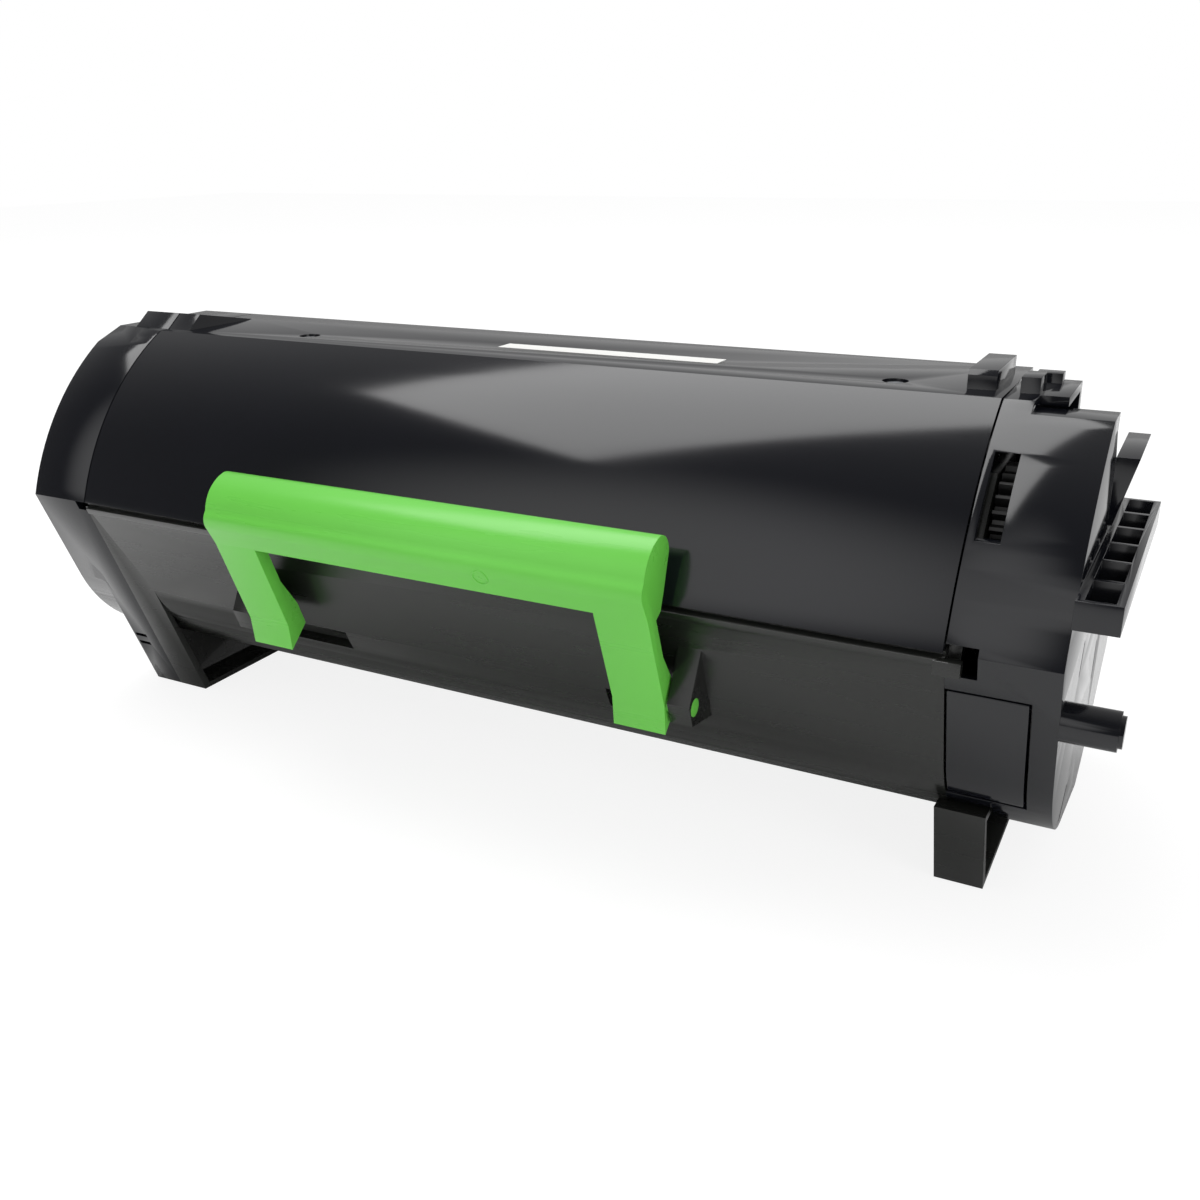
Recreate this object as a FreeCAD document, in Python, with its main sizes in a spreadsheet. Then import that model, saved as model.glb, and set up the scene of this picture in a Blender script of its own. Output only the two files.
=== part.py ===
import FreeCAD, Part

import math
import os
import re

import Sketcher

# Toner cartridge with a swinging carry handle, modelled standing on its feet.
# X runs along the cartridge, the handle is at the front (-Y), and Z is up.
# Sections are drawn about a reference axis that runs along X at the height of the parting line.

DRIVING_SIZES = {
    "body_length": 282.3, "left_cap_length": 20.2, "right_cap_length": 22.0, "seam_gap": 0.4,
    "axis_forward": 4.65, "axis_rise": 66.1,
    "front_reach": 43.5, "top_rise": 42.85, "crest_setback": 7.3, "top_back": 31.3, "mouth_back": 42.0,
    "lid_radius": 78.0, "wall_drop": 28.0, "lean": 20.0, "bowl_radius": 40.0,
    "trough_radius": 13.0, "back_step": 8.0,
    "wall": 2.0, "end_wall": 2.5,
    "rim_reach": 0.9, "rim_top": 1.3, "rim_depth": 1.8, "groove_depth": 1.0,
    "foot_skin": 1.6, "foot_back": 36.0, "foot_top": 43.0,
    "left_foot_cap_side": 10.1, "left_foot_hopper_side": 10.6, "right_foot_length": 11.0,
    "right_foot_lap": 2.0,
    "pocket_inner": 39.3, "pocket_outer": 61.5, "pocket_top": 30.5, "pocket_tall": 6.5, "pocket_sink": 3.0,
    "handle_length": 121.1, "arm_width": 13.0, "arm_front": 9.9, "arm_back": 6.3, "heel_back": 4.1,
    "grip_front": 10.5, "grip_bottom": 3.3, "grip_bulge_at": 8.0, "crown_out": 1.5, "crown_up": 17.4,
    "shoulder_out": 8.6, "shoulder_up": 12.6, "crown_radius": 10.1, "shoulder_radius": 3.9,
    "back_out": 4.2, "back_up": 11.6, "back_radius": 4.2, "waist_out": 1.1, "waist_up": 4.6, "neck_up": 0.9,
    "heel_start": 9.5, "heel_end": 18.5, "heel_low": 25.2, "toe_out": 11.7, "toe_low": 28.5,
    "crease_low": 21.5,
    "pivot_out": 7.0, "pivot_down": 22.7, "pivot_radius": 2.15, "pivot_clearance": 0.05,
    "ear_gap": 0.6, "ear_width": 5.4, "ear_reach": 9.6, "ear_top": 11.0, "ear_knee": 20.5, "ear_chin": 26.3,
    "ear_root": 32.5,
    "window_left": 1.5, "window_width": 4.9, "window_reach": 14.0, "window_low": 20.0, "window_high": 34.6,
    "notch_wide": 6.3, "notch_high": 1.8, "notch_low": 5.3, "clip_reach": 3.4, "clip_thick": 2.4,
    "clip_high": 1.5, "clip_low": 4.6,
    "hatch_left": 0.4, "hatch_width": 15.9, "hatch_from": 10.0, "hatch_angle": 217.5, "hatch_gap": 0.6,
    "hatch_flange": 1.5, "hatch_flange_thick": 1.2, "foot_window_angle": 219.5,
    "housing_top_y": 45.8, "housing_top_z": 9.0, "housing_back": 66.2, "housing_back_high": -18.0,
    "housing_back_low": -36.1, "housing_floor_y": 37.9, "housing_floor_z": -54.5, "housing_low_y": 25.4,
    "housing_low_z": -59.0, "housing_angle": 263.0, "hood_back": 4.6, "hood_back_z": 30.1,
    "hood_front_z": 36.5,
    "shelf_back": 18.8, "shelf_end": 10.0, "step_in": 15.8, "strip_z": 40.8, "strip_back": 0.9,
    "strip_back_z": 40.7, "left_strip_back": 4.0, "left_strip_z": 39.3, "shelf_foot": 22.0,
    "rail_reach": 8.4, "rail_front": 43.5, "rail_back": 45.8, "rail_low": 8.9,
    "rail_high": 14.7, "rail_back_high": 10.4, "rail_tall": 5.8, "rail_skin": 1.5,
    "boss_reach": 4.7, "boss_foot": 1.0, "boss_front": 5.0, "boss_back": 30.0, "boss_low": 15.0,
    "boss_high": 30.0,
    "pin_reach": 11.4, "pin_radius": 4.05, "pin_y": -36.0, "pin_z": -13.0, "pin_chamfer": 0.8,
    "ridge_left": 31.0, "ridge_width": 6.1, "ridge_depth": 22.0, "ridge_rise": 4.1, "ridge_slope": 1.1,
    "tongue_left": 20.0, "tongue_width": 4.0, "tongue_depth": 8.0, "tongue_rise": 3.4,
    "stub_left": 19.0, "stub_width": 5.5, "stub_front": 13.0, "stub_depth": 4.0, "stub_rise": 2.2,
    "hump_left": 7.0, "hump_width": 21.5, "hump_front": -4.2, "hump_peak": 1.0, "hump_depth": 22.0,
    "hump_rise": 4.0, "left_step": 12.8, "left_notch_wide": 3.6, "left_notch_high": 2.6,
    "vent_from": 10.9, "vent_wide": 4.6, "vent_tall": 1.1, "vent_pitch": 3.0, "vent_low": 49.0,
    "label_length": 62.3, "label_width": 6.0, "label_left": 153.6, "label_front": 6.6, "label_thick": 0.1,
    "label_sink": 0.05,
    "screw_far": 68.5, "screw_near": 47.0, "screw_y": 2.5, "screw_head_radius": 2.6, "screw_head_tall": 1.4,
    "screw_radius": 1.25, "screw_length": 8.0, "screw_sink": 1.9, "screw_boss_radius": 4.4,
    "screw_seat": 1.3,
    "screw_socket": 0.7, "screw_room": 0.3,
    "post_radius": 3.6, "left_post_upper_y": 2.0, "left_post_upper_z": 22.0, "left_post_lower_y": 28.0,
    "left_post_lower_z": -41.0, "right_post_upper_y": 30.0, "right_post_upper_z": -1.0,
    "right_post_lower_y": 26.0, "right_post_lower_z": -44.0,
    "gear_module": 1.0, "tooth_thinning": 0.09, "tip_half": 0.34, "root_half": 1.0, "gear_start": 3.0,
    "gear_face": 7.0,
    "agitator_teeth": 43, "input_teeth": 27, "idler_teeth": 18, "auger_teeth": 18, "gear_web": 2.4,
    "gear_rim": 2.6, "hub_radius": 6.0, "input_angle": 119.0, "idler_angle": -10.6, "auger_angle": -32.3,
    "shaft_radius": 4.0, "shaft_clearance": 0.06, "press_fit": 0.02, "bush_radius": 6.5, "flange_thick": 1.2,
    "stub_post_radius": 3.0, "post_length": 12.0, "post_cap_gap": 0.3,
    "wiper_radius": 35.0, "wiper_thick": 0.5, "wiper_clearance": 2.0, "wiper_root": 3.2,
    "paddle_start": 18.0, "paddle_end": 29.1, "paddle_radius": 26.0, "paddle_width": 6.0,
    "paddle_thick": 2.4, "wiper_slot_deep": 12.0,
    "auger_shaft_radius": 2.5, "blade_reach": 9.4, "blade_start": 8.0, "blade_end": 17.1, "blade_thick": 1.6,
    "blade_width": 8.0, "blade_tilt": 30.0,
    "auger_bush_radius": 5.0,
    "port_centre": 46.0, "port_length": 16.0, "port_width": 8.0, "port_skin": 3.0, "port_floor": 47.0,
    "seal_thick": 1.0, "seal_depth": 2.0, "shutter_thick": 1.5, "shutter_lap": 3.0, "shutter_play": 0.15,
    "rail_wall": 1.8, "rail_lip": 1.5, "rail_lip_thick": 1.4, "shutter_travel": 20.0, "lug_tall": 3.0,
    "lug_thick": 2.0, "lug_wide": 6.0,
    "plug_y": -13.0, "plug_z": -30.0, "plug_radius": 10.0, "plug_lip": 1.2, "plug_flange": 12.0,
    "chip_length": 13.0, "chip_width": 11.0, "chip_thick": 1.0, "chip_rise": 8.0, "chip_front": 10.0,
    "contact_pitch": 2.7, "contact_width": 1.8, "contact_length": 5.0, "contact_thick": 0.1,
    "plate_thick": 2.5, "cup_reach": 4.0, "cup_floor": 1.5,
}

# Places worked out from the driving sizes, each as one formula.
PLACES = {
    "right_end": "(body_length - pin_reach) / 2",
    "left_end": "right_end - body_length",
    "seam_left": "left_end + left_cap_length",
    "seam_right": "right_end - right_cap_length",
    "hopper_length": "body_length - left_cap_length - right_cap_length",
    "middle": "right_end - body_length / 2",
    "axis_y": "0 - axis_forward",
    "knee_y": "wall_drop * tan(lean) - front_reach",
    "bowl_y": "knee_y + bowl_radius * cos(lean)",
    "bowl_z": "bowl_radius * sin(lean) - wall_drop",
    "floor_turn": ("atan((trough_z - bowl_z) / (trough_y - bowl_y))"
                   " - acos((bowl_radius - trough_radius) / hypot(trough_y - bowl_y; trough_z - bowl_z))"),
    "pivot_y": "pivot_down * sin(lean) - pivot_out * cos(lean) - front_reach",
    "pivot_z": "0 - pivot_out * sin(lean) - pivot_down * cos(lean)",
    "arm_reach": "handle_length / 2",
    "input_y": "bowl_y + gear_module * (agitator_teeth + input_teeth) / 2 * cos(input_angle)",
    "input_z": "bowl_z + gear_module * (agitator_teeth + input_teeth) / 2 * sin(input_angle)",
    "idler_y": "bowl_y + gear_module * (agitator_teeth + idler_teeth) / 2 * cos(idler_angle)",
    "idler_z": "bowl_z + gear_module * (agitator_teeth + idler_teeth) / 2 * sin(idler_angle)",
    "trough_y": "idler_y + gear_module * (idler_teeth + auger_teeth) / 2 * cos(auger_angle)",
    "trough_z": "idler_z + gear_module * (idler_teeth + auger_teeth) / 2 * sin(auger_angle)",
    "lid_chord": "hypot(front_reach - crest_setback; top_rise)",
    "lid_offset": "sqrt(lid_radius ^ 2 - lid_chord ^ 2 / 4)",
    "lid_y": "top_rise / lid_chord * lid_offset - (front_reach + crest_setback) / 2",
    "lid_z": "top_rise / 2 - (front_reach - crest_setback) / lid_chord * lid_offset",
    "paddle_pitch": "(hopper_length - 2 * end_wall - paddle_start - paddle_end) / 4",
    "blade_pitch": "(hopper_length - 2 * end_wall - blade_start - blade_end) / 21",
    "port_x": "right_end - port_centre",
    "port_reach": "port_length / 2 + port_skin",
    "shutter_half": "port_width / 2 + shutter_lap",
    "input_turn": "input_angle + 180 - 180 / input_teeth + input_angle * agitator_teeth / input_teeth",
    "idler_turn": "idler_angle + 180 - 180 / idler_teeth + idler_angle * agitator_teeth / idler_teeth",
    "auger_turn": ("auger_angle + 180 - 180 / auger_teeth"
                   " + (auger_angle - idler_turn) * idler_teeth / auger_teeth"),
}

document = FreeCAD.newDocument("toner_cartridge")
sheet = document.addObject("Spreadsheet::Sheet", "Sizes")
for row, (alias, size) in enumerate(DRIVING_SIZES.items(), start=1):
    sheet.set(f"A{row}", alias.replace("_", " "))
    sheet.set(f"B{row}", str(size))
    sheet.setAlias(f"B{row}", alias)
document.recompute()
places = document.addObject("Spreadsheet::Sheet", "Places")


def formula(text):
    """Turn plain names into references to the two sheets."""
    def swap(match):
        name = match.group()
        if name in PLACES:
            return "Places." + name
        if name in DRIVING_SIZES:
            return "Sizes." + name
        return name
    return re.sub(r"[a-z][a-z_]*[a-z]", swap, str(text))


for row, (alias, text) in enumerate(PLACES.items(), start=1):
    places.setAlias(f"B{row}", alias)
    places.set(f"A{row}", alias.replace("_", " "))
    places.set(f"B{row}", "=" + formula(text))
document.recompute()


def value(text):
    """The number that a formula gives with the present sizes."""
    return float(sheet.evalExpression(formula(text)))


def bind(thing, path, text):
    thing.setExpression(path, formula(text))


ACROSS = FreeCAD.Rotation(0.5, 0.5, 0.5, 0.5)
ALONG_X = FreeCAD.Rotation(FreeCAD.Vector(0, 1, 0), 90)
AXIS = ("axis_y", "axis_rise")
pieces = {}
finished = {}


def piece(label):
    """Start a sub-part as a list of bars and bores, joined later by finish."""
    pieces[label] = []
    return label


def put(owner, thing, x, y, z, remove):
    """Bind a shape's place and note whether it is added or taken away."""
    bind(thing, "Placement.Base.x", x)
    bind(thing, "Placement.Base.y", y)
    bind(thing, "Placement.Base.z", z)
    pieces[owner].append((remove, thing))
    return thing


def section(owner, path):
    """A closed sketch across X. Each point is (y, z) or (y, z, radius of the edge to the next)."""
    sketch = document.addObject("Sketcher::SketchObject", owner + "_sketch")
    corners = [FreeCAD.Vector(value(point[0]), value(point[1]), 0) for point in path]
    count = len(path)
    ends = []
    for index, point in enumerate(path):
        first = corners[index]
        last = corners[(index + 1) % count]
        if len(point) == 2:
            sketch.addGeometry(Part.LineSegment(first, last), False)
            ends.append((1, 2))
            continue
        sketch.addGeometry(bulging_arc(first, last, value(point[2])), False)
        arc = sketch.Geometry[index]
        from_start = (arc.StartPoint - first).Length < (arc.EndPoint - first).Length
        ends.append((1, 2) if from_start else (2, 1))
    for index, point in enumerate(path):
        following = (index + 1) % count
        sketch.addConstraint(Sketcher.Constraint("Coincident", index, ends[index][1], following,
                                                 ends[following][0]))
        for kind, size in (("DistanceX", point[0]), ("DistanceY", point[1])):
            number = sketch.addConstraint(Sketcher.Constraint(kind, index, ends[index][0], value(size)))
            bind(sketch, f"Constraints[{number}]", size)
        if len(point) == 3:
            number = sketch.addConstraint(Sketcher.Constraint("Radius", index, abs(value(point[2]))))
            bind(sketch, f"Constraints[{number}]", f"abs({point[2]})")
    return sketch


def bulging_arc(first, last, radius):
    """The arc of a radius between two points; a positive radius bulges to the right of the way."""
    chord = last - first
    half = chord.Length / 2
    rise = abs(radius) - math.sqrt(max(radius * radius - half * half, 0.0))
    outward = FreeCAD.Vector(chord.y, -chord.x, 0).normalize()
    middle = (first + last) / 2 + outward * math.copysign(rise, radius)
    return Part.Arc(first, middle, last) if radius > 0 else Part.Arc(last, middle, first)


def pad(owner, start, length, path, remove=False, centre=AXIS):
    """Add a bar along X with the given section."""
    sketch = section(owner, path)
    sketch.Placement = FreeCAD.Placement(FreeCAD.Vector(), ACROSS)
    bind(sketch, "Placement.Base.x", start)
    bind(sketch, "Placement.Base.y", centre[0])
    bind(sketch, "Placement.Base.z", centre[1])
    bar = document.addObject("Part::Extrusion", owner + "_bar")
    bar.Base = sketch
    bar.DirMode = "Normal"
    bar.Solid = True
    bind(bar, "LengthFwd", length)
    pieces[owner].append((remove, bar))
    return bar


def cut(owner, start, length, path):
    return pad(owner, start, length, path, True)


def block(owner, x, y, z, length, depth, height, remove=False):
    """Add or remove a box. x is in the part's frame, y and z are from the reference axis."""
    box = document.addObject("Part::Box", owner + "_box")
    bind(box, "Length", length)
    bind(box, "Width", depth)
    bind(box, "Height", height)
    return put(owner, box, x, f"axis_y + {y}", f"axis_rise + {z}", remove)


def rod(owner, x, y, z, length, radius, remove=False):
    """Add or remove a round bar along X."""
    bar = document.addObject("Part::Cylinder", owner + "_rod")
    bar.Placement = FreeCAD.Placement(FreeCAD.Vector(), ALONG_X)
    bind(bar, "Radius", radius)
    bind(bar, "Height", length)
    return put(owner, bar, x, f"axis_y + {y}", f"axis_rise + {z}", remove)


def drill(owner, x, y, z, depth, radius, remove=True):
    """Remove or add an upright round bar that starts at z and runs up."""
    bar = document.addObject("Part::Cylinder", owner + "_bore")
    bind(bar, "Radius", radius)
    bind(bar, "Height", depth)
    return put(owner, bar, x, f"axis_y + {y}", f"axis_rise + {z}", remove)


def finish(owner):
    """Join the bars of a sub-part in order, each run of additions or bores at once."""
    solid = None
    run = []
    steps = pieces[owner]
    for number, (remove, thing) in enumerate(steps):
        run.append(thing)
        if number + 1 < len(steps) and steps[number + 1][0] == remove:
            continue
        solid = join_cut(owner, solid, run) if remove else join_fuse(owner, solid, run)
        run = []
    solid.Label = owner
    document.recompute()
    finished[owner] = solid


def join_fuse(owner, solid, run):
    parts = run if solid is None else [solid] + run
    if len(parts) == 1:
        return parts[0]
    whole = document.addObject("Part::MultiFuse", owner + "_fuse")
    whole.Shapes = parts
    whole.Refine = True
    return whole


def join_cut(owner, solid, run):
    tool = join_fuse(owner, None, run)
    rest = document.addObject("Part::Cut", owner + "_cut")
    rest.Base = solid
    rest.Tool = tool
    rest.Refine = True
    return rest


def leaning(out, down):
    """A point given by its distance out from the leaning front wall and down along it."""
    across = f"({down}) * sin(lean) - ({out}) * cos(lean) - front_reach"
    upward = f"0 - ({out}) * sin(lean) - ({down}) * cos(lean)"
    return across, upward


def on_bowl(angle, inset="0"):
    """A point on the round bottom at an angle, inset from its outer face."""
    return (f"bowl_y + (bowl_radius - {inset}) * cos({angle})",
            f"bowl_z + (bowl_radius - {inset}) * sin({angle})")


def on_trough(angle, inset="0"):
    return (f"trough_y + (trough_radius - {inset}) * cos({angle})",
            f"trough_z + (trough_radius - {inset}) * sin({angle})")


def tub_path(inset, mouth):
    """The outline of the tub from the front of its mouth round to the back of its mouth."""
    front = leaning(f"0 - {inset}", "0")
    knee = leaning(f"0 - {inset}", "wall_drop / cos(lean)")
    return [
        (f"{inset} / cos(lean) - front_reach", mouth),
        (*knee, f"bowl_radius - {inset}"),
        on_bowl("floor_turn", inset),
        (*on_trough("floor_turn", inset), f"trough_radius - {inset}"),
        on_trough("90", inset),
        (f"mouth_back - {inset}", f"0 - back_step - {inset} * 0.4"),
        (f"mouth_back - {inset}", mouth),
    ]


def on_lid(height, inset="0"):
    """A point on the curved front of the lid at a height."""
    return (f"lid_y - sqrt((lid_radius - {inset}) ^ 2 - ({height} - lid_z) ^ 2)", height)


def on_floor(share, inset="0"):
    """A point on the flat floor between the bowl and the trough."""
    bowl = on_bowl("floor_turn", inset)
    trough = on_trough("floor_turn", inset)
    return tuple(f"({a}) + {share} * (({b}) - ({a}))" for a, b in zip(bowl, trough))


KNEE = "wall_drop / cos(lean)"
SKIN_ANGLE = "(180 + lean) * 1 deg + acos(1 - foot_skin / bowl_radius)"
FLOOR_FRONT = "axis_rise * tan(lean) - front_reach"


def foot_path():
    """A foot: front in line with the leaning wall, top following the tub."""
    return [
        (FLOOR_FRONT, "0 - axis_rise"),
        ("foot_back", "0 - axis_rise"),
        on_floor("0.95", "1"),
        (*on_bowl("floor_turn", "1"), "1 - bowl_radius"),
        leaning("0 - 1", KNEE),
        leaning("0", KNEE),
    ]


def foot_hollow():
    return [
        (FLOOR_FRONT + " + 1.2 * foot_skin", "foot_skin - axis_rise"),
        ("foot_back - foot_skin", "foot_skin - axis_rise"),
        on_floor("0.88"),
        (*on_bowl("floor_turn"), "0 - bowl_radius"),
        on_bowl(SKIN_ANGLE),
    ]


GUIDE_LOW = "0 - port_floor - seal_thick - shutter_thick - 2 * shutter_play - rail_lip_thick"
POST_LEFT = "left_end + screw_sink + screw_seat"
POST_RIGHT = "right_end - screw_sink - screw_seat"
TOP_SCREWS = ("left_end + screw_far", "right_end - screw_near")
LEFT_POSTS = (("left_post_upper_y", "left_post_upper_z"), ("left_post_lower_y", "left_post_lower_z"))
RIGHT_POSTS = (("right_post_upper_y", "right_post_upper_z"), ("right_post_lower_y", "right_post_lower_z"))
GEAR_POSTS = (("input_y", "input_z"), ("idler_y", "idler_z"))
JOURNALS = (("bowl_y", "bowl_z", "shaft_radius", "bush_radius"),
            ("trough_y", "trough_z", "auger_shaft_radius", "auger_bush_radius"))
SLITS = (((-7.5, -7.2), (-10.3, -14.4)), ((26.1, -19.9), (26.0, -29.9)), ((-0.7, -45.4), (-8.9, -50.6)))
HANDLE_OUTLINE = [
    (*leaning("0 - crown_out", "0 - crown_up"), "crown_radius"),
    (*leaning("shoulder_out", "0 - shoulder_up"), "shoulder_radius"),
    leaning("grip_front", "0 - grip_bulge_at"),
    leaning("arm_front", "0 - grip_bottom"),
    leaning("arm_front", "crease_low"),
    leaning("toe_out", "toe_low"),
    leaning("heel_back", "heel_low"),
    leaning("heel_back", "heel_end"),
    leaning("arm_back", "heel_start"),
    leaning("arm_back", "0 - neck_up"),
    leaning("waist_out + 2.7", "0 - neck_up - 0.5"),
    leaning("waist_out", "0 - waist_up"),
    (*leaning("0 - back_out", "0 - back_up"), "back_radius"),
]


RECESSES = [f"middle + {side} * (pocket_inner + pocket_outer) / 2 - (pocket_outer - pocket_inner) / 2"
            for side in ("-1", "1")]


def back_plate_path():
    """The end plate outside the tub, which closes the back of the gear housing."""
    return [
        ("mouth_back - 1", "housing_top_z - 1"),
        ("mouth_back - 1", "0 - back_step - 1"),
        (*on_trough("90", "3.5"), "3.5 - trough_radius"),
        on_trough("floor_turn", "3.5"),
        on_floor("0.4", "2"),
        ("housing_floor_y - 1.25", "housing_floor_z + 2.8"),
        ("housing_back - 2.5", "housing_back_low + 1.4"),
        ("housing_back - 2.5", "housing_back_high - 0.9"),
        ("housing_top_y - 1.7", "housing_top_z - 2.1"),
    ]


def lid_path(inset, low):
    """The outline of the lid down to its lower edge."""
    path = [
        (f"mouth_back - 1.03 * {inset}", low),
        (f"top_back - 0.78 * {inset}", f"top_rise - {inset}"),
        (*on_lid(f"(top_rise - {inset})", inset), f"lid_radius - {inset}"),
        on_lid("0", inset),
    ]
    if low != "0":
        path.append((on_lid("0", inset)[0], low))
    return path


def hump_path(low):
    return [("hump_front", low), ("hump_depth", low), ("hump_depth", "top_rise"),
            ("hump_peak", "top_rise + hump_rise"), ("hump_front", "top_rise")]


def cap_left_path(inset, stepped):
    """The whole outline of the left cap; its outer part has a sloping strip for a crest."""
    path = tub_path(inset, "0")
    path.append((f"top_back - 0.78 * {inset}", f"top_rise - {inset}"))
    if stepped:
        path.append((f"0 - left_strip_back - 0.4 * {inset}", f"top_rise - {inset}"))
        path.append((*on_lid(f"(left_strip_z - {inset})", inset), f"lid_radius - {inset}"))
    else:
        path.append((*on_lid(f"(top_rise - {inset})", inset), f"lid_radius - {inset}"))
    return path


def hood_path(inset, crown):
    """The outline of the right cap with its gear housing and one of three crowns."""
    path = [
        (f"{inset} / cos(lean) - front_reach", "0"),
        (*leaning(f"0 - {inset}", KNEE), f"bowl_radius - {inset}"),
        on_bowl("housing_angle", inset),
        (f"housing_low_y - 0.3 * {inset}", f"housing_low_z + 1.15 * {inset}"),
        (f"housing_floor_y - 0.5 * {inset}", f"housing_floor_z + 1.1 * {inset}"),
        (f"housing_back - {inset}", f"housing_back_low + 0.55 * {inset}"),
        (f"housing_back - {inset}", f"housing_back_high - 0.35 * {inset}"),
        (f"housing_top_y - 0.66 * {inset}", f"housing_top_z - 0.79 * {inset}"),
    ]
    if crown == "end":
        path.append((f"hood_back - 0.63 * {inset}", f"hood_back_z - 0.8 * {inset}"))
        path.append((f"0 - strip_back - {inset}", f"hood_front_z - 0.45 * {inset}"))
        path.append((f"0 - strip_back - {inset}", f"strip_back_z - {inset}"))
        path.append((*on_lid(f"(strip_z - {inset})", inset), f"lid_radius - {inset}"))
        return path
    path.append(("shelf_foot", "hood_back_z"))
    path.append(("shelf_back", "top_rise"))
    if crown == "shelf":
        path.append(("0 - strip_back", "top_rise"))
        path.append(("0 - strip_back", "strip_back_z"))
        path.append((*on_lid("strip_z"), "lid_radius"))
    else:
        path.append((*on_lid("top_rise"), "lid_radius"))
    return path


def panel_path(out, inner, start, angle):
    """A band of the front wall and bowl between two distances out from it."""
    return [
        leaning(out, start),
        (*leaning(out, KNEE), f"bowl_radius + {out}"),
        on_bowl(angle, f"(0 - ({out}))"),
        (*on_bowl(angle, f"(0 - ({inner}))"), f"0 - (bowl_radius + {inner})"),
        leaning(inner, KNEE),
        leaning(inner, start),
    ]


def slit_path(first, last):
    """A slot 1.2 mm wide between two points of an end face."""
    run = FreeCAD.Vector(last[0] - first[0], last[1] - first[1], 0).normalize()
    side = FreeCAD.Vector(-run.y, run.x, 0) * 0.6
    corners = ((first, 1), (first, -1), (last, -1), (last, 1))
    return [(str(round(point[0] + sign * side.x, 3)), str(round(point[1] + sign * side.y, 3)))
            for point, sign in corners]


def bay_path(bay):
    """One of the six open pockets in the top of the rail."""
    pitch = "((rail_front + rail_back - rail_skin) / 6)"
    start = f"(rail_skin - rail_front + {bay} * {pitch})"
    fall = "((rail_low + rail_tall - rail_back_high) / (rail_front + rail_back))"
    end = f"({start} + {pitch} - rail_skin)"
    return [
        (start, f"rail_low + rail_skin - {fall} * ({start} + rail_front)"),
        (end, f"rail_low + rail_skin - {fall} * ({end} + rail_front)"),
        (end, "rail_high + 2"),
        (start, "rail_high + 2"),
    ]


def gear(label, y, z, teeth, turn, bore):
    """A spur wheel with two straight lines a flank, a web and a hub."""
    count = round(value(teeth))
    module = value("gear_module")
    thinned = module * math.pi / 4 - value("tooth_thinning")
    pitch_radius = module * count / 2
    flank = ((pitch_radius - 1.25 * module, -value("root_half")), (pitch_radius, -thinned),
             (pitch_radius + module, -value("tip_half")), (pitch_radius + module, value("tip_half")),
             (pitch_radius, thinned), (pitch_radius - 1.25 * module, value("root_half")))
    points = []
    for tooth in range(count):
        for radius, half in flank:
            angle = math.radians(value(turn) + tooth * 360 / count) + half / radius
            points.append(FreeCAD.Vector(0, radius * math.cos(angle), radius * math.sin(angle)))
    points.append(points[0])
    wheel = piece(label)
    blank = document.addObject("Part::Feature", label + "_teeth")
    blank.Shape = Part.Face(Part.makePolygon(points)).extrude(FreeCAD.Vector(value("gear_face"), 0, 0))
    blank.Placement = FreeCAD.Placement()
    put(wheel, blank, "seam_right + gear_start", f"axis_y + {y}", f"axis_rise + {z}", False)
    if count > 20:
        rim = f"gear_module * ({teeth} / 2 - 1.25) - gear_rim"
        rod(wheel, "seam_right + gear_start + gear_web", y, z, "gear_face", rim, True)
        rod(wheel, "seam_right + gear_start", y, z, "gear_face", "hub_radius")
    rod(wheel, "seam_right + gear_start - 1", y, z, "gear_face + 2", bore, True)
    finish(wheel)


def blade(owner, number):
    """A slanting blade of the auger, a quarter turn on from the last one."""
    turn = FreeCAD.Rotation(FreeCAD.Vector(1, 0, 0), 90 * number)
    slant = turn * FreeCAD.Rotation(FreeCAD.Vector(0, 0, 1), value("blade_tilt"))
    box = document.addObject("Part::Box", owner + "_blade")
    box.Placement = FreeCAD.Placement(FreeCAD.Vector(), slant)
    bind(box, "Length", "blade_thick")
    bind(box, "Width", "blade_width")
    bind(box, "Height", "blade_reach")
    thick = slant.multVec(FreeCAD.Vector(-0.5, 0, 0))
    wide = slant.multVec(FreeCAD.Vector(0, -0.5, 0))
    offsets = [f"({round(thick[axis], 5)}) * blade_thick + ({round(wide[axis], 5)}) * blade_width"
               for axis in range(3)]
    put(owner, box, f"seam_left + end_wall + blade_start + {number} * blade_pitch + {offsets[0]}",
        f"axis_y + trough_y + {offsets[1]}", f"axis_rise + trough_z + {offsets[2]}", False)


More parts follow.
